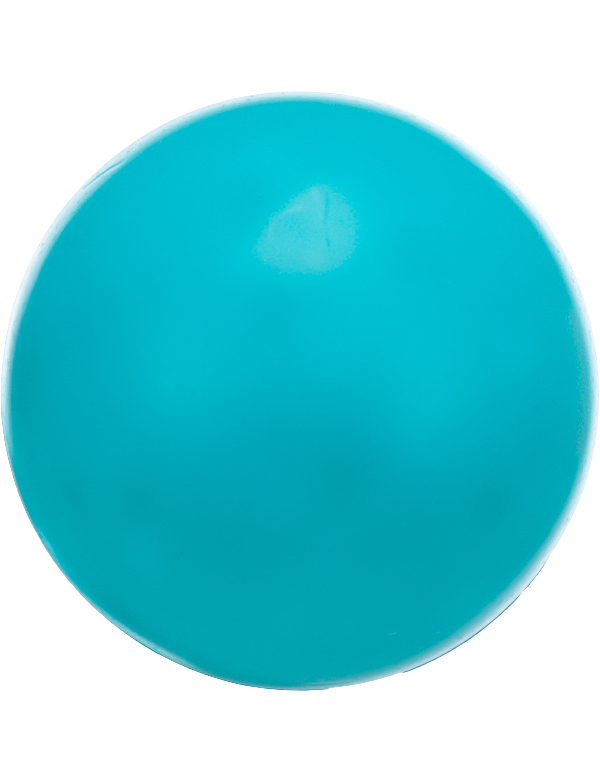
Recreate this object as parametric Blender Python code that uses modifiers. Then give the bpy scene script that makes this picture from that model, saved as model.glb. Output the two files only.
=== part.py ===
"""Hollow rubber dog ball, put together the way such a ball is made.

Two moulded half shells are cemented rim to rim. The cured cement fills the buffed edges of the rims, stands a
little proud of the ball as its seam, and ends inside in a small roll. A soft self-sealing plug is bonded to the
inner wall, where an inflating needle goes in. Units are metres and +Z is up. The origin is the ball's centre, the
seam lies in the XZ plane, and the front half shell faces -Y.
"""

from math import asin, atan2, cos, pi, radians, sin, sqrt

import bpy

# Half shells
BALL_DIAMETER = 0.065
WALL_THICKNESS = 0.006
RIM_CHAMFER = 0.0005  # buffed outer edge of each rim

# Seam
CEMENT_THICKNESS = 0.0004  # film between the two rims
BEAD_HEIGHT = 0.0003  # the trimmed seam, proud of the ball
ROLL_RADIUS = 0.0006  # squeezed-out cement along the inside of the seam

# Plug
PLUG_DIAMETER = 0.012
PLUG_THICKNESS = 0.0035
PLUG_EDGE = 0.001  # thickness at its edge
PLUG_RISE = radians(36)  # its axis, up from the front half's axis
PLUG_TURN = radians(4)  # its axis, round the upright towards +X

# Fits
SEAM_GAP = 0.00003  # each rim to the cement
PLUG_GAP = 0.0003  # inner wall to the plug

# Facets
TURN_STEPS = 64
OUTER_ARC_STEPS = 20
INNER_ARC_STEPS = 14
CROWN_STEPS = 6
ROLL_STEPS = 6
PLUG_ARC_STEPS = 5

# Finishes
TURQUOISE = (0.0, 0.42, 0.52)
CEMENT_TURQUOISE = (0.0, 0.34, 0.43)
GUM_AMBER = (0.55, 0.36, 0.16)

OUTER_RADIUS = BALL_DIAMETER / 2
INNER_RADIUS = OUTER_RADIUS - WALL_THICKNESS
RIM_LEVEL = CEMENT_THICKNESS / 2 + SEAM_GAP
SHOULDER_LEVEL = RIM_LEVEL + RIM_CHAMFER
SHOULDER_RADIUS = sqrt(OUTER_RADIUS**2 - SHOULDER_LEVEL**2)
RIM_OUTER_RADIUS = SHOULDER_RADIUS - RIM_CHAMFER
RIM_INNER_RADIUS = sqrt(INNER_RADIUS**2 - RIM_LEVEL**2)

FRONT_TURN = (pi / 2, 0, 0)  # carries a turned piece's own +Z axis to -Y
REAR_TURN = (-pi / 2, 0, 0)


def clear_scene():
    for old in list(bpy.data.objects):
        bpy.data.objects.remove(old, do_unlink=True)


def arc(centre, radius, start, end, steps):
    """Points (radius, level) along a circle about centre, from one angle to another, both ends included."""
    angles = [start + (end - start) * i / steps for i in range(steps + 1)]
    return [(centre[0] + radius * cos(a), centre[1] + radius * sin(a)) for a in angles]


def half_shell_profile():
    """Down the outside from the pole, round the buffed edge, across the rim and up the inside to the axis."""
    outside = arc((0, 0), OUTER_RADIUS, pi / 2, asin(SHOULDER_LEVEL / OUTER_RADIUS), OUTER_ARC_STEPS)
    inside = arc((0, 0), INNER_RADIUS, asin(RIM_LEVEL / INNER_RADIUS), pi / 2, INNER_ARC_STEPS)
    return outside + [(RIM_OUTER_RADIUS, RIM_LEVEL)] + inside


def cement_profile():
    """The proud crown, the flare into the rims' chamfers, the film between the rims and the roll inside."""
    half_film = CEMENT_THICKNESS / 2
    half_flare = half_film + RIM_CHAMFER
    crown_top = OUTER_RADIUS + BEAD_HEIGHT
    rise = crown_top - SHOULDER_RADIUS
    crown_radius = (half_flare**2 + rise**2) / (2 * rise)
    crown_centre = crown_top - crown_radius
    crown_end = atan2(half_flare, SHOULDER_RADIUS - crown_centre)
    crown = arc((crown_centre, 0), crown_radius, crown_end, -crown_end, CROWN_STEPS)

    roll_radius = ROLL_RADIUS + half_film
    roll_mouth = asin(half_film / roll_radius)
    film_end = RIM_INNER_RADIUS - SEAM_GAP
    roll_centre = film_end - roll_radius * cos(roll_mouth)
    roll = arc((roll_centre, 0), roll_radius, -roll_mouth, roll_mouth - 2 * pi, ROLL_STEPS)
    return crown + [(RIM_OUTER_RADIUS, -half_film)] + roll + [(RIM_OUTER_RADIUS, half_film)]


def plug_profile():
    """Along the face that seats on the inner wall, down the edge and back along the domed inner face."""
    seat_radius = INNER_RADIUS - PLUG_GAP
    edge_radius = PLUG_DIAMETER / 2
    edge_angle = asin(edge_radius / seat_radius)
    seat = arc((0, 0), seat_radius, pi / 2, pi / 2 - edge_angle, PLUG_ARC_STEPS)

    dome_edge = seat[-1][1] - PLUG_EDGE
    dome_depth = dome_edge - (seat_radius - PLUG_THICKNESS)
    dome_radius = (edge_radius**2 + dome_depth**2) / (2 * dome_depth)
    dome_centre = dome_edge - dome_depth + dome_radius
    dome_start = atan2(dome_edge - dome_centre, edge_radius)
    dome = arc((0, dome_centre), dome_radius, dome_start, -pi / 2, PLUG_ARC_STEPS)
    return seat + dome


def on_axis(points):
    """The same profile with its ends exactly on the axis."""
    return [(0.0, points[0][1])] + points[1:-1] + [(0.0, points[-1][1])]


def turned_piece(name, profile, closed, rotation, material):
    """A profile of (radius, level) points turned about the piece's own Z axis."""
    points = [(radius, 0.0, level) for radius, level in profile]
    edges = [(i, i + 1) for i in range(len(points) - 1)]
    if closed:
        edges.append((len(points) - 1, 0))
    mesh = bpy.data.meshes.new(name)
    mesh.from_pydata(points, edges, [])
    mesh.materials.append(material)
    piece = bpy.data.objects.new(name, mesh)
    screw = piece.modifiers.new("turn", "SCREW")
    screw.axis = "Z"
    screw.angle = 2 * pi
    screw.steps = TURN_STEPS
    screw.render_steps = TURN_STEPS
    screw.use_merge_vertices = True
    screw.merge_threshold = 0.000001
    screw.use_smooth_shade = True
    piece.rotation_euler = rotation
    return piece


def rubber(name, colour, roughness):
    material = bpy.data.materials.new(name)
    material.use_nodes = True
    shader = material.node_tree.nodes["Principled BSDF"]
    shader.inputs["Base Color"].default_value = (*colour, 1.0)
    shader.inputs["Roughness"].default_value = roughness
    shader.inputs["Metallic"].default_value = 0.0
    return material


clear_scene()
shell_rubber = rubber("turquoise_rubber", TURQUOISE, 0.28)
seam_cement = rubber("seam_cement", CEMENT_TURQUOISE, 0.45)
plug_gum = rubber("plug_gum", GUM_AMBER, 0.6)

shell = on_axis(half_shell_profile())
plug_rotation = (pi / 2 - PLUG_RISE, 0, PLUG_TURN)
pieces = [
    turned_piece("half_shell_front", shell, False, FRONT_TURN, shell_rubber),
    turned_piece("half_shell_rear", shell, False, REAR_TURN, shell_rubber),
    turned_piece("seam_cement_ring", cement_profile(), True, FRONT_TURN, seam_cement),
    turned_piece("inflation_plug", on_axis(plug_profile()), False, plug_rotation, plug_gum),
]

collection = bpy.data.collections.new("dog_ball")
bpy.context.scene.collection.children.link(collection)
ball_centre = bpy.data.objects.new("ball_centre", None)
collection.objects.link(ball_centre)
for piece in pieces:
    piece.parent = ball_centre
    collection.objects.link(piece)
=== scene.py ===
"""Looks of a hollow rubber dog ball: two glossy turquoise half shells, cemented rim to rim at a trimmed seam.

Metres, +Z up, the origin at the ball's centre. The seam lies in the XZ plane, and the front half shell faces
-Y. Marks are placed by the pixels that show them, in the photograph's frame of 600 x 780.
"""

from math import acos, asin, cos, pi, radians, sin, sqrt, tan

import bpy
import numpy as np
from mathutils import Matrix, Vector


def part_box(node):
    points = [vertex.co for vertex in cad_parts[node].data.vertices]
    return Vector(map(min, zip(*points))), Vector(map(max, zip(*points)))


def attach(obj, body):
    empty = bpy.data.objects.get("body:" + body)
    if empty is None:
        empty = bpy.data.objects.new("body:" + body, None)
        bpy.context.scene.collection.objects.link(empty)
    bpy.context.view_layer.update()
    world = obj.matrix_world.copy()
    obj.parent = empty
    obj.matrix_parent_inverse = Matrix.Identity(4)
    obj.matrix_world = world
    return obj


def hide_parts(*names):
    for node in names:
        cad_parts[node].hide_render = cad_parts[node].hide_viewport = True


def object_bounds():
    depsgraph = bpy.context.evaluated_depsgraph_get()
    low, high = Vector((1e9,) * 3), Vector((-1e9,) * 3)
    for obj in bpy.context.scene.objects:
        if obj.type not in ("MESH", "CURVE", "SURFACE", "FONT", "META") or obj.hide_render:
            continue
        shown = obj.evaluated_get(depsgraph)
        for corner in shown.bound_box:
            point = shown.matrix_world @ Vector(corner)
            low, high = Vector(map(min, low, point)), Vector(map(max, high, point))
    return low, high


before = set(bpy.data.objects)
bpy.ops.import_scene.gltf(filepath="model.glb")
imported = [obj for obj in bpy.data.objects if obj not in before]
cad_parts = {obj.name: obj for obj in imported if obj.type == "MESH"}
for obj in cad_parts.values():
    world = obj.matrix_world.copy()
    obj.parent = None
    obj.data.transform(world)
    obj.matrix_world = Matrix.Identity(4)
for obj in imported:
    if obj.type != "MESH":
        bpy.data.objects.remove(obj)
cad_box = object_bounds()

# Camera
# A long lens, level with the ball, looks at the front half shell nearly square to the seam, so that the seam
# lies along the outline. It comes first, because the marks on the rubber are placed by the pixels that show
# them.
PICTURE_WIDTH = 600
PICTURE_HEIGHT = 780
OUTLINE_CENTRE = (300.0, 391.2)
OUTLINE_RADIUS = 299.7
CAMERA_DISTANCE = 1.0
CAMERA_TURN = radians(-2)
SENSOR_SIDE = 36.0  # millimetres, along the picture's long side

ball_radius = -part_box("half_shell_front")[0][1]
pixel_focus = OUTLINE_RADIUS / tan(asin(ball_radius / CAMERA_DISTANCE))
to_right = np.array([cos(CAMERA_TURN), sin(CAMERA_TURN), 0.0])
to_camera = np.array([sin(CAMERA_TURN), -cos(CAMERA_TURN), 0.0])
to_top = np.cross(to_camera, to_right)
camera_place = CAMERA_DISTANCE * to_camera

lens = bpy.data.cameras.new("photo_lens")
lens.sensor_width = SENSOR_SIDE
lens.lens = SENSOR_SIDE * pixel_focus / PICTURE_HEIGHT
lens.shift_x = (PICTURE_WIDTH / 2 - OUTLINE_CENTRE[0]) / PICTURE_HEIGHT
lens.shift_y = (OUTLINE_CENTRE[1] - PICTURE_HEIGHT / 2) / PICTURE_HEIGHT
camera = bpy.data.objects.new("photo_camera", lens)
camera_axes = np.eye(4)
camera_axes[:3] = np.column_stack([to_right, to_top, to_camera, camera_place])
camera.matrix_world = Matrix(camera_axes.tolist())
bpy.context.scene.collection.objects.link(camera)
bpy.context.scene.camera = camera


def seen_at(pixels):
    """Outward unit vectors where the picture shows the ball at (x, y) pixels: each ray's near crossing with
    the sphere, or its closest point where the ray just misses."""
    across = (np.asarray(pixels, float) - OUTLINE_CENTRE) / pixel_focus
    rays = across[..., :1] * to_right - across[..., 1:] * to_top - to_camera
    rays /= np.linalg.norm(rays, axis=-1, keepdims=True)
    closest = -(rays @ camera_place)
    half_chord = np.sqrt(np.maximum(0, closest**2 - CAMERA_DISTANCE**2 + ball_radius**2))
    points = camera_place + rays * (closest - half_chord)[..., None]
    return points / np.linalg.norm(points, axis=-1, keepdims=True)


# Half shells
# Two cups of soft turquoise rubber, pressed in a mould. The rim of each is buffed to a small chamfer for the
# cement. The outside keeps the low swells and flats that the rubber takes as it shrinks out of the mould.
WALL_THICKNESS = 0.006
RIM_CHAMFER = 0.0005
RIPPLE_HEIGHT = 0.00003
RIPPLE_WAVES = (6.0, 5.0, 7.0)  # radians over one radius of the ball, along X, Y and Z
RIPPLE_STARTS = (1.3, 0.4, 2.1)

SWELLS = [  # pixel, spread round the ball, height
    ((505, 168), radians(11), -0.0001),  # the flat at the upper right of the outline
    ((584, 312), radians(9), -0.00014),
    ((585, 484), radians(6), 0.00008),
    ((427, 120), radians(8), 0.00009),
    ((240, 100), radians(12), 0.00013),
    ((62, 212), radians(6), 0.00006),
    ((3, 352), radians(4.5), -0.00007),
    ((5, 425), radians(7), -0.00004),
    ((143, 640), radians(12), -0.00025),
    ((312, 690), radians(12), -0.0001),
    ((470, 632), radians(9), -0.00005),
]

SLIT = [(327.5, 190), (328.3, 200), (327.3, 209), (326, 219), (326, 231)]  # where the needle went in
SLIT_TAIL = [(326, 231), (328.3, 242), (331, 252.5)]
SLIT_LIP = [(313, 185), (317, 197), (320, 208), (322, 222)]
SCAR = [(278, 217.5), (286, 212), (295, 209), (304, 207.5)]  # raised arc beside the slit
SCAR_TAIL = [(269, 242), (270, 234), (271.3, 227), (274.5, 220.5), (280, 216)]
RIM_CREASE = [(83, 189.5), (84.5, 188), (98, 177), (109, 169.5), (124, 162)]  # fold left by the mould
RIM_FORK = [(128, 154), (137, 146), (140, 141)]
FLAT_EDGE = [(476, 165), (491, 177), (502, 183), (514, 193), (527, 208)]
TRIM_SCORE = [(286, 683.6), (307, 685.5), (334, 684), (356, 681)]  # where the trimming knife slipped
UPPER_SCORE = [(326, 675), (338, 673), (352, 670), (366, 666)]
FRONT_MARKS = [  # path, half width, height, or depth if negative
    (SLIT, 0.00018, -0.00003),
    (SLIT_TAIL, 0.00013, -0.000025),
    (SLIT_LIP, 0.00035, 0.00001),
    (SCAR, 0.0002, 0.00001),
    (RIM_CREASE, 0.00045, -0.0001),
    (RIM_FORK, 0.0003, -0.00003),
    (FLAT_EDGE, 0.0006, 0.00002),
    (TRIM_SCORE, 0.0006, -0.00004),
    (UPPER_SCORE, 0.0006, -0.00002),
]

OUTER_RINGS = 196
INNER_RINGS = 24
SHELL_COLUMNS = 400
SHARP_ANGLE = radians(38)
FIRST_TURN = radians(-130)  # the front's first column, away from its marks
DENSITY_STEPS = 6000
CROWDED_POLARS = [  # middle, half width, rings added there to each one
    (radians(36.5), radians(11.5), 5.0),  # the slit and its scars
    (radians(77), radians(7), 1.2),  # the crease and the flat's edge
]
CROWDED_TURNS = [  # middle, half width, columns added there to each one
    (radians(88), radians(18), 5.0),  # the slit and its scars
    (radians(131), radians(11), 2.0),  # the crease
    (radians(45), radians(9), 2.0),  # the flat's edge
]

rim_level = -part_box("half_shell_front")[1][1]
shoulder_level = rim_level + RIM_CHAMFER
inner_radius = ball_radius - WALL_THICKNESS


def ripple(out):
    """Mould shrinkage all over the ball: a product of three slow waves, one along each axis."""
    return RIPPLE_HEIGHT * np.prod(np.cos(out * RIPPLE_WAVES + RIPPLE_STARTS), axis=-1)


def bell_at(out, pixel, spread):
    """A bell over the ball, 1 at the point that a pixel shows: the exponential of the cosine of the angle
    from that point, less 1, over the square of the spread, which is an angle."""
    return np.exp((out @ seen_at(pixel) - 1) / spread**2)


def moulded_radius(out):
    """Radius of the ball in outward directions: the sphere, its ripple, and a bell for each swell or flat."""
    radius = ball_radius + ripple(out)
    for pixel, spread, height in SWELLS:
        radius = radius + height * bell_at(out, pixel, spread)
    return radius


def line_relief(out, path, width, height):
    """Height of a ridge, or of a groove if negative: a bell across a line of pixels on the ball, whose height
    tapers to both ends as the root of a half sine."""
    corners = seen_at(path)
    gap = np.full(out.shape[:-1], np.inf)
    share = np.zeros(out.shape[:-1])
    for number, (start, end) in enumerate(zip(corners, corners[1:])):
        run = end - start
        part = np.clip((out - start) @ run / (run @ run), 0, 1)
        distance = ball_radius * np.linalg.norm(out - start - part[..., None] * run, axis=-1)
        share = np.where(distance < gap, (number + part) / (len(corners) - 1), share)
        gap = np.minimum(gap, distance)
    return height * np.exp(-((gap / width) ** 2)) * np.sqrt(np.abs(np.sin(pi * share)))


def marked_radius(out, marks):
    """The moulded radius with a ridge or a groove along the path of each mark."""
    relief = np.zeros(out.shape[:-1])
    for path, width, height in marks:
        relief += line_relief(out, path, width, height)
    return moulded_radius(out) + relief


def crowded(start, end, count, crowds):
    """Values from start to end, closer together in the crowds: equal steps of the running sum of a density,
    which is 1 plus a flat-topped bell for each crowd's middle, half width and strength."""
    fine = np.linspace(start, end, DENSITY_STEPS + 1)
    density = np.ones_like(fine)
    for middle, width, strength in crowds:
        density += strength * np.exp(-(((fine - middle) / width) ** 4))
    walked = np.concatenate([[0.0], np.cumsum((density[1:] + density[:-1]) / 2)])
    return np.interp(np.linspace(0, walked[-1], count), walked, fine)


def ring_mesh(name, rings, poles, inside_out):
    """Mesh of rings of points: quads from each ring to the next, closed round. Two poles shut the ends with
    fans, and without poles the last ring joins the first."""
    count, columns = rings.shape[:2]
    index = np.arange(count * columns).reshape(count, columns)
    beside = np.roll(index, -1, axis=1)
    below = np.roll(index, -1, axis=0)
    below_beside = np.roll(beside, -1, axis=0)
    quads = np.stack([index, below, below_beside, beside], axis=-1)
    order = -1 if inside_out else 1
    points = rings.reshape(-1, 3)
    faces = []
    if len(poles):
        quads = quads[:-1]
        first_pole = np.full(columns, count * columns)
        fans = [
            np.stack([first_pole, index[0], beside[0]], axis=-1),
            np.stack([first_pole + 1, beside[-1], index[-1]], axis=-1),
        ]
        points = np.concatenate([points, poles])
        faces = np.concatenate(fans)[:, ::order].tolist()
    faces += quads.reshape(-1, 4)[:, ::order].tolist()
    mesh = bpy.data.meshes.new(name)
    mesh.from_pydata(points.tolist(), [], faces)
    mesh.shade_smooth()
    mesh.set_sharp_from_angle(angle=SHARP_ANGLE)
    return mesh


def new_piece(name, mesh, material, node):
    """A piece in place of a CAD node, which rides on the ball's one body."""
    mesh.materials.append(material)
    piece = bpy.data.objects.new(name, mesh)
    bpy.context.scene.collection.objects.link(piece)
    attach(piece, "root")
    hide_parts(node)


def half_shell(name, side, polars, turns, marks):
    """Rings from the pole down the outside, where the radius is the moulded one with its marks, then the
    chamfer and the flat rim, and up the plain inner sphere to its pole. side is the sign of the pole's Y."""
    turn = turns[None, :]

    def outward(polar):
        level = side * np.cos(polar) * np.ones_like(turn)
        return np.stack([np.sin(polar) * np.cos(turn), level, np.sin(polar) * np.sin(turn)], axis=-1)

    out = outward(polars[1:, None])
    outside = out * marked_radius(out, marks)[..., None]
    pole_out = np.array([0.0, side, 0.0])
    poles = np.stack([pole_out * marked_radius(pole_out, marks), pole_out * inner_radius])

    shoulder = np.hypot(outside[-1:, :, 0], outside[-1:, :, 2])
    buffed = outside[-1:] * (1 - RIM_CHAMFER / shoulder)[..., None]
    buffed[..., 1] = side * rim_level
    inner_polars = np.linspace(acos(rim_level / inner_radius), 0, INNER_RINGS + 1)
    inside = inner_radius * outward(inner_polars[:-1, None])
    return ring_mesh(name, np.concatenate([outside, buffed, inside]), poles, inside_out=side > 0)


# Outline, spots and lines of the pale patch round the slit: the rubber's wax, with the overhead lamp's hazy
# highlight painted into it.
BLOOM_AND_HIGHLIGHT_OUTLINE = [  # pixel, half width of the soft edge along the next side
    ((303, 186), 0.0017),
    ((315, 177), 0.0015),
    ((340, 183), 0.0024),
    ((355, 199), 0.0020),
    ((362, 225), 0.0016),
    ((359, 250), 0.0014),
    ((348, 267), 0.0011),
    ((324, 278), 0.0011),
    ((297, 281), 0.0013),
    ((270, 276), 0.0016),
    ((247, 262), 0.0022),
    ((244, 248), 0.0019),
    ((263, 222), 0.0011),
    ((278, 206), 0.0013),
]
BLOOM_AND_HIGHLIGHT_SPOTS = [  # pixel, spread, how much paler, or clearer if negative
    ((292, 222), 0.0010, -0.3),
    ((305, 233), 0.0009, -0.22),
    ((341.5, 222), 0.0005, -0.3),
    ((316, 259), 0.0008, 0.42),
    ((281, 252), 0.0014, 0.12),
    ((262, 250), 0.0010, 0.15),
    ((302, 203), 0.0008, 0.4),
    ((315, 193), 0.0006, 0.35),
]
BLOOM_AND_HIGHLIGHT_LINES = [  # path, half width, how much paler or clearer
    (SCAR, 0.00027, 0.8),
    (SCAR_TAIL, 0.0003, 0.5),
    (SLIT_LIP, 0.0004, 0.45),
    (SLIT, 0.00026, -0.3),
    (SLIT_TAIL, 0.00018, -0.45),
]


def front_bloom_and_highlight(out):
    """How pale the skin is round the slit, where the rubber's wax is painted paler also as the overhead
    lamp's
    hazy highlight: inside an outline, with a smooth step across each side, and paler or clearer by a bell at
    each spot and across each line."""
    share = np.ones(out.shape[:-1])
    for (first, softness), (second, _) in zip(BLOOM_AND_HIGHLIGHT_OUTLINE, BLOOM_AND_HIGHLIGHT_OUTLINE[1:] + BLOOM_AND_HIGHLIGHT_OUTLINE[:1]):
        inward = np.cross(seen_at(second), seen_at(first))
        depth = ball_radius * (out @ inward) / np.linalg.norm(inward)
        edge = np.clip(0.5 + depth / (2 * softness), 0, 1)
        share = np.minimum(share, edge**2 * (3 - 2 * edge))
    paleness = np.ones(out.shape[:-1])
    for pixel, spread, paler in BLOOM_AND_HIGHLIGHT_SPOTS:
        paleness += paler * bell_at(out, pixel, spread / ball_radius)
    for path, width, paler in BLOOM_AND_HIGHLIGHT_LINES:
        paleness += line_relief(out, path, width, paler)
    return share * np.maximum(paleness, 0)


# Patches painted lighter or darker on the front half, as the light and shade of its low dents.
PAINTED_LIGHT_AND_SHADE = [  # pixel, spread, how much lighter, or deeper if negative
    ((343, 472), 0.003, -0.42),
    ((285, 447), 0.0025, -0.2),
    ((253, 205), 0.0025, -0.38),
    ((266, 154), 0.0022, 0.27),
    ((240, 383), 0.003, 0.22),
    ((25, 365), 0.0036, -0.45),
    ((14, 402), 0.002, -0.35),
    ((92, 330), 0.004, -0.2),
    ((73, 494), 0.0016, -0.36),
    ((138, 503), 0.0018, -0.32),
    ((119, 612), 0.0022, -0.5),
    ((189, 612), 0.0018, -0.2),
    ((492, 507), 0.0026, -0.3),
    ((545, 440), 0.003, -0.25),
    ((583, 432), 0.002, -0.3),
    ((273, 308), 0.0018, -0.24),
    ((410, 246), 0.0022, -0.17),
    ((340, 660), 0.004, -0.17),
    ((145, 558), 0.0022, 0.44),
    ((66, 537), 0.0018, 0.25),
    ((41, 454), 0.0018, 0.2),
    ((109, 452), 0.002, 0.2),
    ((516, 353), 0.0024, 0.36),
    ((463, 603), 0.0026, 0.3),
    ((328, 354), 0.003, 0.3),
    ((422, 432), 0.0028, 0.22),
    ((237, 268), 0.0015, 0.2),
    ((327, 559), 0.003, 0.2),
]


def front_painted_light_and_shade(out):
    """Painted light and shade of the front half's low dents, lighter or darker where they would catch or lose
    the light: a bell for each cloud.
    """
    painted_light_and_shade = np.zeros(out.shape[:-1])
    for pixel, spread, lighter in PAINTED_LIGHT_AND_SHADE:
        painted_light_and_shade += lighter * bell_at(out, pixel, spread / ball_radius)
    return painted_light_and_shade


def keep_outside(mesh, name, value):
    """Keep a value of the outward direction as an attribute of the points on the outside of a half shell."""
    points = np.empty(3 * len(mesh.vertices))
    mesh.vertices.foreach_get("co", points)
    points = points.reshape(-1, 3)
    radius = np.linalg.norm(points, axis=-1)
    outside = radius > ball_radius - WALL_THICKNESS / 2
    kept = mesh.attributes.new(name, "FLOAT", "POINT")
    kept.data.foreach_set("value", value(points / radius[:, None]) * outside)


class Shade:
    """An output socket in a node tree. Arithmetic on it adds Math nodes, and make() adds any other node."""

    def __init__(self, tree, socket=None):
        self.tree = tree
        self.socket = socket

    def make(self, kind, settings, inputs, output=0):
        """One output of a new node, whose settings are set first and then each input's value or link."""
        node = self.tree.nodes.new(kind)
        for name, value in settings.items():
            setattr(node, name, value)
        for key, value in inputs.items():
            if isinstance(value, Shade):
                self.tree.links.new(value.socket, node.inputs[key])
            else:
                node.inputs[key].default_value = value
        return Shade(self.tree, node.outputs[output])

    def maths(self, operation, first, second=0.0):
        return self.make("ShaderNodeMath", {"operation": operation}, {0: first, 1: second})

    def vector_maths(self, operation, inputs, output=0):
        return self.make("ShaderNodeVectorMath", {"operation": operation}, inputs, output)

    def __add__(self, other):
        return self.maths("ADD", self, other)

    def __sub__(self, other):
        return self.maths("SUBTRACT", self, other)

    def __rsub__(self, other):
        return self.maths("SUBTRACT", other, self)

    def __mul__(self, other):
        return self.maths("MULTIPLY", self, other)

    __radd__ = __add__
    __rmul__ = __mul__

    def either(self, other):
        """The larger of two values."""
        return self.maths("MAXIMUM", self, other)

    def both(self, other):
        """The smaller of two values."""
        return self.maths("MINIMUM", self, other)

    def swing(self, depth):
        """How far this value is above or below a half, times a depth."""
        return (self - 0.5) * depth

    def between(self, low, high):
        """A smooth step from 0 at low to 1 at high. low may be the larger, and then the step goes down."""
        inputs = {"Value": self, "From Min": low, "From Max": high, "To Min": 0.0, "To Max": 1.0}
        if low > high:
            inputs.update({"From Min": high, "From Max": low, "To Min": 1.0, "To Max": 0.0})
        return self.make("ShaderNodeMapRange", {"interpolation_type": "SMOOTHSTEP"}, inputs)

    def tint(self, plain, tinted):
        """Mix of two colours, the second where this value is 1. The node's inputs 6 and 7 and its output 2
        are those for colours."""
        return self.make("ShaderNodeMix", {"data_type": "RGBA"}, {0: self, 6: plain, 7: tinted}, 2)

    def attribute(self, name):
        """A value that the piece keeps at its points."""
        return self.make("ShaderNodeAttribute", {"attribute_name": name}, {}, "Fac")

    def noise(self, size, detail):
        """Noise at this place, with cells of this size."""
        inputs = {"Vector": self, "Scale": 1 / size, "Detail": detail}
        return self.make("ShaderNodeTexNoise", {}, inputs, "Fac")

    def along(self, way):
        """How far this place lies along a way, as their dot product."""
        return self.vector_maths("DOT_PRODUCT", {0: self, 1: tuple(way)}, "Value")

    def away_from(self, pixel):
        """Distance of this place from the point of the ball that the picture shows at a pixel."""
        return self.vector_maths("DISTANCE", {0: self, 1: tuple(ball_radius * seen_at(pixel))}, "Value")

    def away_from_line(self, start, end):
        """Distance of this place from a straight line between two pixels' points of the ball."""
        first, last = ball_radius * seen_at([start, end])
        run = last - first
        offset = self.vector_maths("SUBTRACT", {0: self, 1: tuple(first)})
        share = offset.along(run / (run @ run)).either(0.0).both(1.0)
        foot = self.vector_maths("SCALE", {0: tuple(run), "Scale": share})
        return self.vector_maths("DISTANCE", {0: offset, 1: foot}, "Value")


def new_finish(name, colour, roughness, refraction):
    """A node material with a plain Principled shader: the material, the shader, and the tree's Object
    coordinates as a Shade."""
    material = bpy.data.materials.new(name)
    material.use_nodes = True
    shader = material.node_tree.nodes["Principled BSDF"]
    shader.inputs["Base Color"].default_value = colour
    shader.inputs["Roughness"].default_value = roughness
    shader.inputs["IOR"].default_value = refraction
    place = Shade(material.node_tree).make("ShaderNodeTexCoord", {}, {}, "Object")
    return material, shader, place


def feed(shader, name, value):
    """Link a value to one of a shader's inputs."""
    value.tree.links.new(value.socket, shader.inputs[name])


def emboss(shader, relief, height):
    """Give a shader a bump, this high where the relief goes from 0 to 1."""
    bump = {"Height": relief, "Strength": 1.0, "Distance": height}
    feed(shader, "Normal", relief.make("ShaderNodeBump", {}, bump))


RUBBER = (0.0, 0.457, 0.581, 1.0)
# The light and deep colours hold both the random clouds in the rubber's colour and the painted light and
# shade of the front's low dents.
RUBBER_LIGHT = (0.0, 0.503, 0.639, 1.0)
RUBBER_DEEP = (0.0, 0.411, 0.523, 1.0)
RUBBER_DARK = (0.0, 0.30, 0.37, 1.0)
RUBBER_PALE = (0.14, 0.72, 0.80, 1.0)  # where it is scratched, or lint lies on it
RUBBER_REFRACTION = 1.45
RUBBER_ROUGHNESS = 0.14
NOISE_SPAN = (0.3, 0.7)  # where most values of a noise lie

GRAIN_SIZE = 0.00023
GRAIN_HEIGHT = 0.000006
GRAIN_ROUGHNESS = 0.05
LUMP_SIZE = 0.003
LUMP_HEIGHT = 0.000015
SCUFF_SIZE = 0.0009
SCUFF_SPAN = (0.54, 0.7)
SCUFF_ROUGHNESS = 0.16
EVEN_PIGMENT = 0.5  # halfway from the deep colour to the light one
CLOUD_SIZE = 0.011
CLOUD_DEPTH = 0.4

# The pale patch's colour: wax that the rubber sweats where it was buffed for the needle, with the overhead
# lamp's hazy highlight painted into it.
BLOOM_AND_HIGHLIGHT = (0.62, 0.72, 0.72, 1.0)  # wax and painted highlight
BLOOM_AND_HIGHLIGHT_SHARE = 0.125
BLOOM_AND_HIGHLIGHT_STIPPLE = 1.9  # how far its grain breaks it up at its thin edge
BLOOM_AND_HIGHLIGHT_COVER = 1.6  # how much of that is gone where it is thick
BLOOM_AND_HIGHLIGHT_GRAIN = 0.3  # and what is left at least
BLOOM_AND_HIGHLIGHT_GRAIN_SIZE = 0.0003

DUST = (0.52, 0.56, 0.62, 1.0)
DUST_SHARE = 0.3
DUST_ROUGHNESS = 0.5
DUST_REACH = (0.0036, 0.0012)  # distance from the dusty stretch's middle line, none to full
DUST_GRAIN_SIZE = 0.0002
DUST_GRAIN_SPAN = (0.1, 0.9)
DUSTY_RIM = [(573, 328), (580, 380), (577, 440)]

SPECK_SPACING = 0.0045
SPECK_RADIUS = 0.00012
LINT_CHANCE = (0.60, 0.62)  # a speck whose random number is above these is pale lint
LINT_SHARE = 0.2
GRIT_CHANCE = (0.42, 0.40)  # and below these it is dark grit
GRIT_SHARE = 0.35
PALE_SPECK_EDGE = (0.00016, 0.00004)  # distance from its middle, none to full
PALE_SPECK_SHARE = 0.35
PALE_SPECKS = [
    (559, 507), (541, 524), (544, 527), (541, 534), (541, 554), (167, 384),
    (172, 386.5), (423, 405), (428, 407), (446, 382), (423, 390),
]
DARK_SPECK_EDGE = (0.00018, 0.00006)
DARK_SPECK_SHARE = 0.7
DARK_SPECKS = [
    (138, 444), (482, 577), (500, 514), (533, 517), (260, 197),
    (182, 553), (218, 110), (472, 172), (193, 113), (238, 100),
]
SCRATCHES = [  # start, end, half width, how pale
    ((531, 237), (540, 252), 0.00009, 0.30),
    ((540, 252), (549, 270), 0.00009, 0.20),
    ((390, 634.4), (395.5, 633.2), 0.00026, 1.0),
    ((437, 633.0), (440.5, 632.2), 0.00024, 0.8),
    ((160, 144), (162, 140), 0.00012, 0.6),
    ((567, 355), (571, 359), 0.00009, 0.4),
    ((575, 333), (574, 341), 0.00009, 0.3),
]


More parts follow.
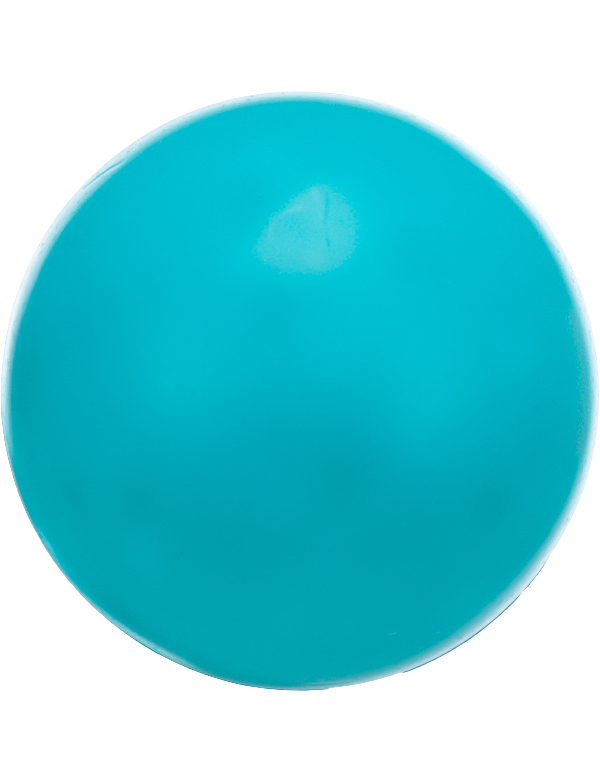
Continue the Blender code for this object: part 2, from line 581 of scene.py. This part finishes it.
def turquoise_rubber():
    """Glossy rubber with faint random clouds in its colour, and on the front lighter and darker patches
    painted as the light and shade of its low dents, over a fine moulded grain and low lumps. On it are the
    pale wax round the slit, painted paler also as the overhead lamp's hazy highlight there, specks of lint
    and grit, thin scratches, dull scuffs and a dusty stretch along the right of the ball."""
    material, shader, place = new_finish("turquoise_rubber", RUBBER, RUBBER_ROUGHNESS, RUBBER_REFRACTION)
    faint_clouds = place.noise(CLOUD_SIZE, detail=1.0).swing(CLOUD_DEPTH)
    # Random clouds in the colour, plus the light and shade painted for the front's low dents.
    clouds_and_painted_shade = place.attribute("painted_light_and_shade") + EVEN_PIGMENT + faint_clouds

    cells = {"Vector": place, "Scale": 1 / SPECK_SPACING}
    from_middle = place.make("ShaderNodeTexVoronoi", {}, cells, "Distance")
    chance = place.make("ShaderNodeTexVoronoi", {}, cells, "Color")
    speck = from_middle.between(SPECK_RADIUS / SPECK_SPACING, 0.0)
    pale = speck * chance.between(*LINT_CHANCE) * LINT_SHARE
    for pixel in PALE_SPECKS:
        pale = pale.either(place.away_from(pixel).between(*PALE_SPECK_EDGE) * PALE_SPECK_SHARE)
    for start, end, half_width, paleness in SCRATCHES:
        pale = pale.either(place.away_from_line(start, end).between(half_width, 0.0) * paleness)
    dark = speck * chance.between(*GRIT_CHANCE) * GRIT_SHARE
    for pixel in DARK_SPECKS:
        dark = dark.either(place.away_from(pixel).between(*DARK_SPECK_EDGE) * DARK_SPECK_SHARE)

    from_dust = place.away_from_line(*DUSTY_RIM[:2]).both(place.away_from_line(*DUSTY_RIM[1:]))
    dust_grain = place.noise(DUST_GRAIN_SIZE, detail=2.0).between(*DUST_GRAIN_SPAN)
    dust = from_dust.between(*DUST_REACH) * dust_grain * DUST_SHARE
    # The wax round the slit, with the overhead lamp's hazy highlight painted into it, broken up by a grain.
    bloom_and_highlight = place.attribute("bloom_and_highlight")
    stipple = place.noise(BLOOM_AND_HIGHLIGHT_GRAIN_SIZE, detail=2.0).between(*NOISE_SPAN)
    contrast = (BLOOM_AND_HIGHLIGHT_STIPPLE - bloom_and_highlight * BLOOM_AND_HIGHLIGHT_COVER).either(BLOOM_AND_HIGHLIGHT_GRAIN)
    bloom_and_highlight = (bloom_and_highlight * (1 + stipple.swing(contrast))).either(0.0)

    colour = clouds_and_painted_shade.tint(RUBBER_DEEP, RUBBER_LIGHT)
    colour = (bloom_and_highlight * BLOOM_AND_HIGHLIGHT_SHARE).tint(colour, BLOOM_AND_HIGHLIGHT)
    colour = dark.tint(colour, RUBBER_DARK)
    colour = pale.tint(colour, RUBBER_PALE)
    feed(shader, "Base Color", dust.tint(colour, DUST))

    grain = place.noise(GRAIN_SIZE, detail=1.0)
    scuffs = place.noise(SCUFF_SIZE, detail=3.0).between(*SCUFF_SPAN) * SCUFF_ROUGHNESS
    dulled = grain.between(*NOISE_SPAN).swing(GRAIN_ROUGHNESS) + dust * (DUST_ROUGHNESS - RUBBER_ROUGHNESS)
    feed(shader, "Roughness", RUBBER_ROUGHNESS + dulled + scuffs)
    lumps = place.noise(LUMP_SIZE, detail=1.0) * (LUMP_HEIGHT / GRAIN_HEIGHT)
    emboss(shader, grain + lumps, GRAIN_HEIGHT)
    return material


last_polar = acos(shoulder_level / ball_radius)
front_polars = crowded(0, last_polar, OUTER_RINGS, CROWDED_POLARS)
front_turns = crowded(FIRST_TURN, FIRST_TURN + 2 * pi, SHELL_COLUMNS + 1, CROWDED_TURNS)[:-1]
rear_polars = np.linspace(0, last_polar, OUTER_RINGS // 2)
rear_turns = np.linspace(0, 2 * pi, SHELL_COLUMNS, endpoint=False)

rubber_finish = turquoise_rubber()
front_mesh = half_shell("front_half_shell", -1, front_polars, front_turns, FRONT_MARKS)
# The front keeps the painted highlight and wax round the slit at its points.
keep_outside(front_mesh, "bloom_and_highlight", front_bloom_and_highlight)
# The front keeps the light and shade painted for its low dents at its points.
keep_outside(front_mesh, "painted_light_and_shade", front_painted_light_and_shade)
rear_mesh = half_shell("rear_half_shell", 1, rear_polars, rear_turns, [])
new_piece("front_half_shell", front_mesh, rubber_finish, "half_shell_front")
new_piece("rear_half_shell", rear_mesh, rubber_finish, "half_shell_rear")

# Seam
# Cured rubber cement fills the buffed edges of both rims and the film between them, and ends inside in a
# small roll. Outside it was trimmed by hand: nearly flush on most of the ball, and left proud in steps low at
# the right.
CEMENT_THICKNESS = 0.0004
ROLL_RADIUS = 0.0006
SEAM_GAP = 0.00003
SEAM_COLUMNS = 900
CROWN_POINTS = 15
CROWN_POWER = 6  # how square the trimmed bead is
ROLL_POINTS = 9
TREMOR_HEIGHT = 0.000004  # of each wave that the hand left in the cut
TREMOR_WAVES = [(31, 0), (53, 1), (97, 2)]  # how many go round the seam, start in radians

BEAD_TRIM = [  # degrees round the seam from +X towards +Z, height
    (-180, 0.00003),
    (-176, 0.00006),
    (-155, 0.00006),
    (-150, 0.00003),
    (-137, 0.00003),
    (-125, 0.00007),
    (-120, 0.00011),
    (-115, 0.00007),
    (-102, 0.00011),
    (-84.8, 0.00012),
    (-84.2, 0.00001),  # cut flush, at the bottom
    (-70.4, 0.00001),
    (-69.7, 0.00018),  # left proud, low at the right
    (-55, 0.00021),
    (-43, 0.00021),
    (-42.5, 0.00011),  # a nick
    (-41.6, 0.00011),
    (-41, 0.00019),
    (-35.5, 0.00017),
    (-33, 0.00003),
    (0, 0.00002),
    (180, 0.00002),
]


def seam_ring():
    """A closed profile carried round the seam: a crown whose height is read along the trim, the flare into
    the chamfers, the film between the rims and a round roll inside."""
    turn = np.linspace(-pi, pi, SEAM_COLUMNS, endpoint=False)
    out = np.stack([np.cos(turn), np.zeros_like(turn), np.sin(turn)], axis=-1)
    swell = moulded_radius(out) - ball_radius
    trim_turns, trim_heights = np.transpose(BEAD_TRIM)
    tremor = TREMOR_HEIGHT * sum(np.sin(waves * turn + start) for waves, start in TREMOR_WAVES)
    bead = np.interp(turn, np.radians(trim_turns), trim_heights) + tremor

    half_film = CEMENT_THICKNESS / 2
    half_flare = half_film + RIM_CHAMFER
    shoulder_radius = sqrt(ball_radius**2 - shoulder_level**2)
    film_outer = shoulder_radius - RIM_CHAMFER
    film_inner = sqrt(inner_radius**2 - rim_level**2) - SEAM_GAP

    across = np.sin(np.linspace(-pi / 2, pi / 2, CROWN_POINTS))[:, None]
    crown_level = half_flare * across * np.ones_like(turn)
    crown_radius = shoulder_radius + swell + bead * (1 - across**CROWN_POWER)
    roll_radius = ROLL_RADIUS + half_film
    mouth = asin(half_film / roll_radius)
    roll_turn = np.linspace(mouth, 2 * pi - mouth, ROLL_POINTS)[:, None]
    roll_level = roll_radius * np.sin(roll_turn) * np.ones_like(turn)
    roll_out = film_inner - roll_radius * cos(mouth) + roll_radius * np.cos(roll_turn) * np.ones_like(turn)

    film = np.full((1, SEAM_COLUMNS), half_film)
    film_radius = (film_outer + swell)[None, :]
    levels = np.concatenate([crown_level, film, roll_level, -film])
    radii = np.concatenate([crown_radius, film_radius, roll_out, film_radius])
    rings = np.stack([radii * np.cos(turn), levels, radii * np.sin(turn)], axis=-1)
    return ring_mesh("seam_bead", rings, [], inside_out=False)


CEMENT = (0.0, 0.46, 0.58, 1.0)
CEMENT_DARK = (0.0, 0.40, 0.50, 1.0)
CEMENT_LOW = (0.02, 0.37, 0.45, 1.0)  # darker, low on the ball
LOW_LEVELS = (-0.008, -0.016)  # height above the ball's centre, none to full
CEMENT_GREYED = (0.2, 0.36, 0.42, 1.0)  # greyer, low at the right
GREYED_WAY = (0.59, 0.0, -0.81)  # from the ball's centre to the middle of that stretch
GREYED_REACH = (0.028, 0.030)  # how far along that way, none to full
CEMENT_ROUGHNESS = 0.38
DRAG_SIZE = 0.0012  # marks that the knife dragged in it
DRAG_HEIGHT = 0.00002
DRAG_ROUGHNESS = 0.2
STREAK_SPAN = (0.35, 0.7)


def seam_cement():
    """The same rubber, cured a shade darker, with the fine drag marks of the trimming knife. Low on the ball
    it is darker and duller, and grey low at the right."""
    material, shader, place = new_finish("seam_cement", CEMENT, CEMENT_ROUGHNESS, RUBBER_REFRACTION)
    drag = place.noise(DRAG_SIZE, detail=2.0)
    height = place.make("ShaderNodeSeparateXYZ", {}, {0: place}, "Z")
    # Darker and duller towards the bottom of the ball, by height alone, and greyer low at the right.
    low_on_ball = height.between(*LOW_LEVELS)
    greyed = place.along(GREYED_WAY).between(*GREYED_REACH)
    colour = drag.between(*STREAK_SPAN).tint(CEMENT, CEMENT_DARK)
    colour = low_on_ball.tint(colour, CEMENT_LOW)
    feed(shader, "Base Color", greyed.tint(colour, CEMENT_GREYED))
    dulled = low_on_ball * (CEMENT_ROUGHNESS - RUBBER_ROUGHNESS)
    feed(shader, "Roughness", RUBBER_ROUGHNESS + dulled + drag.swing(DRAG_ROUGHNESS))
    emboss(shader, drag, DRAG_HEIGHT)
    return material


new_piece("seam_bead", seam_ring(), seam_cement(), "seam_cement_ring")

# Inflation plug
# A button of soft amber gum, bonded to the inner wall behind the slit, which closes by itself when the
# inflating needle is drawn out. Nothing shows of it from outside, and the CAD solid's shape is right.
GUM = (0.55, 0.36, 0.16, 1.0)
GUM_DEEP = (0.42, 0.25, 0.09, 1.0)
GUM_REFRACTION = 1.52
GUM_ROUGHNESS = 0.6
GUM_STREAK_SIZE = 0.002
GUM_STREAK_ROUGHNESS = 0.2
GUM_GRAIN_SIZE = 0.0005
GUM_GRAIN_HEIGHT = 0.00003


def plug_gum():
    """Natural gum: amber streaks through the colour, and a matt skin with a coarse grain."""
    material, shader, place = new_finish("plug_gum", GUM, GUM_ROUGHNESS, GUM_REFRACTION)
    streaks = place.noise(GUM_STREAK_SIZE, detail=3.0)
    feed(shader, "Base Color", streaks.between(*STREAK_SPAN).tint(GUM, GUM_DEEP))
    feed(shader, "Roughness", GUM_ROUGHNESS + streaks.swing(GUM_STREAK_ROUGHNESS))
    emboss(shader, place.noise(GUM_GRAIN_SIZE, detail=2.0), GUM_GRAIN_HEIGHT)
    return material


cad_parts["inflation_plug"].material_slots[0].material = plug_gum()

# Studio
# A white table and backdrop with a lamp overhead and a soft box at each side. The light is a soft sky round
# the ball, and the table only shows to the camera, so that it gives back no more light than the sky below it
# holds.
PLAIN_WHITE = (1.0, 1.0, 1.0, 1.0)
FLOOR_SIDE = 6.0
FLOOR_WHITE = (0.8, 0.8, 0.8, 1.0)
FLOOR_ROUGHNESS = 0.8
FLOOR_REFRACTION = 1.45
FLOOR_GLOW = 2.6

ROOM_LIGHT = 0.53
FAINTEST_LIGHT = 0.29  # beside the ball
FAINTEST_SLANT = 0.06  # how much fainter it is in front, and brighter behind
SOFT_LIGHTS = [  # degrees to the camera's right, degrees up, spread in degrees, strength
    (9, 63, 17.5, 2.65),  # lamp overhead
    (-48, 6.5, 16, 2.0),  # left soft box
    (48.5, 3.5, 18.5, 2.05),  # right soft box
    (9.5, -43, 31, -1.4),  # the table's dark near edge
    (0, -89, 25.5, 1.3),  # the lit table top
    (-93, -30, 12, 0.15),  # its left side
    (-120, 12.5, 13.5, -0.65),  # unlit corner on the left
    (-156, -9, 3, -0.3),  # dark gap low behind, on the left
    (-163, -4.4, 3, -0.95),
    (-168.5, -5.5, 3, -0.5),
    (-165, -24, 8, -0.25),  # unlit strip of the table behind the ball
    (187, -25, 2.5, -0.4),  # dark gap where the backdrop meets the table
    (185, -19.5, 3, -1.0),
    (182.5, -11, 3.4, -0.6),
    (-171, -17.5, 2.7, 0.95),  # light between the two gaps
    (-169, -24, 2.3, 0.25),
    (-163.5, -9.5, 1.0, 0.6),  # glints off the table's edge, in the gap on the left
    (-159.5, -12, 1.2, 0.6),
    (163, -7, 6, 0.35),  # the backdrop's bright right side
    (170, 9, 4.5, 0.5),
    (181, 5, 10.5, -0.85),  # the backdrop's middle, where the ball keeps the light off it
    (-163, 3.5, 4.5, 1.1),  # the backdrop's bright left side
]
STRAIGHT_BEHIND = 180  # degrees from the camera
BACKDROP_CORNERS = [  # degrees to the right of straight behind, degrees up, softness of the next side
    (27.5, -8, 8),
    (26.5, 12.5, 9),
    (21.5, 23.5, 10),
    (-9.5, 25, 10.5),
    (-25.5, 24, 4),
    (-33.5, 11.5, 6),
    (-29.5, 1.5, 6.5),
    (3.5, -20.5, 12),
    (26, -26, 11),
]
BACKDROP_LIGHT = 1.15
BACKDROP_RISE = 1.95  # how much brighter it gets towards its top
BACKDROP_SLANT = 0.5  # and towards the right
BACKDROP_WHITE = (1.05, 0.96, 1.08, 1.0)
BALL_GLOW = (0.75, 1.55, 1.8, 1.0)  # light that the ball throws on the table behind it, low on the left
BALL_GLOW_WAY = (-161, -11)  # degrees to the camera's right, degrees up
BALL_GLOW_SPREAD = 7

WHITE_LEVEL = 2.0  # light that the picture shows as pure white
TONE_CURVE = [(0.25, 0.5), (0.35, 0.675), (0.5, 0.86), (0.65, 0.95)]  # share of that light, brightness shown
RED_FLOOR = 0.138  # so strong a turquoise has less red than a screen can show, so its red starts above this

floor_mesh = bpy.data.meshes.new("table_top")
floor_level = cad_box[0][2]
half_side = FLOOR_SIDE / 2
corners = [(-half_side, -half_side), (half_side, -half_side), (half_side, half_side), (-half_side, half_side)]
floor_mesh.from_pydata([(x, y, floor_level) for x, y in corners], [], [(0, 1, 2, 3)])
floor_finish, floor_shader, _ = new_finish("white_table", FLOOR_WHITE, FLOOR_ROUGHNESS, FLOOR_REFRACTION)
floor_shader.inputs["Emission Color"].default_value = PLAIN_WHITE
floor_shader.inputs["Emission Strength"].default_value = FLOOR_GLOW
floor_mesh.materials.append(floor_finish)
floor = bpy.data.objects.new("table_top", floor_mesh)
floor.visible_diffuse = False
floor.visible_glossy = False
floor.visible_shadow = False
bpy.context.scene.collection.objects.link(floor)


def from_camera(right, up):
    """Unit vector in the direction so many degrees to the right of the camera and up, seen from the ball."""
    right, up = radians(right), radians(up)
    return cos(up) * sin(right) * to_right + sin(up) * to_top + cos(up) * cos(right) * to_camera


def studio_light(tree):
    """Strength and colour of the light by direction: the room, a bell for each soft light or dark corner, and
    the backdrop as what lies inside all of its sides, each with a soft edge. One more bell takes the ball's
    colour."""
    way = Shade(tree).make("ShaderNodeTexCoord", {}, {}, "Generated")

    def bell_towards(right, up, spread):
        return way.maths("EXPONENT", (way.along(from_camera(right, up)) - 1) * (1 / radians(spread) ** 2))

    backdrop = None
    sides = zip(BACKDROP_CORNERS, BACKDROP_CORNERS[1:] + BACKDROP_CORNERS[:1])
    for (right, up, softness), (next_right, next_up, _) in sides:
        corner = from_camera(STRAIGHT_BEHIND - right, up)
        next_corner = from_camera(STRAIGHT_BEHIND - next_right, next_up)
        inward = np.cross(next_corner, corner)
        edge = sin(radians(softness))
        inside = way.along(inward / np.linalg.norm(inward)).between(-edge, edge)
        backdrop = inside if backdrop is None else backdrop.both(inside)
    glow = BACKDROP_LIGHT + way.along(to_top) * BACKDROP_RISE + way.along(to_right) * BACKDROP_SLANT
    light = backdrop * glow + ROOM_LIGHT
    for right, up, spread, strength in SOFT_LIGHTS:
        light = light + bell_towards(right, up, spread) * strength
    faintest = FAINTEST_LIGHT - way.along(to_camera) * FAINTEST_SLANT
    colour = backdrop.tint(PLAIN_WHITE, BACKDROP_WHITE)
    colour = bell_towards(*BALL_GLOW_WAY, BALL_GLOW_SPREAD).tint(colour, BALL_GLOW)
    return light.either(faintest), colour


studio = bpy.data.worlds.new("studio")
studio.use_nodes = True
studio.node_tree.nodes.clear()
strength, tinge = studio_light(studio.node_tree)
lit = strength.make("ShaderNodeBackground", {}, {"Color": tinge, "Strength": strength})
white = strength.make("ShaderNodeBackground", {}, {"Color": PLAIN_WHITE, "Strength": FLOOR_GLOW})
to_eye = strength.make("ShaderNodeLightPath", {}, {}, "Is Camera Ray")
shown = strength.make("ShaderNodeMixShader", {}, {0: to_eye, 1: lit, 2: white})
studio_output = studio.node_tree.nodes.new("ShaderNodeOutputWorld")
studio.node_tree.links.new(shown.socket, studio_output.inputs["Surface"])
bpy.context.scene.world = studio

picture = bpy.context.scene.view_settings
picture.view_transform = "Standard"
picture.use_curve_mapping = True
tone = picture.curve_mapping
tone.black_level = (RED_FLOOR, 0.0, 0.0)
tone.white_level = (WHITE_LEVEL, WHITE_LEVEL, WHITE_LEVEL)
shared_curve = tone.curves[3]  # the curve of all three colours, after red, green and blue
for light, shown_as in TONE_CURVE:
    shared_curve.points.new(light, shown_as)
shared_curve.points[0].handle_type = "VECTOR"
tone.update()
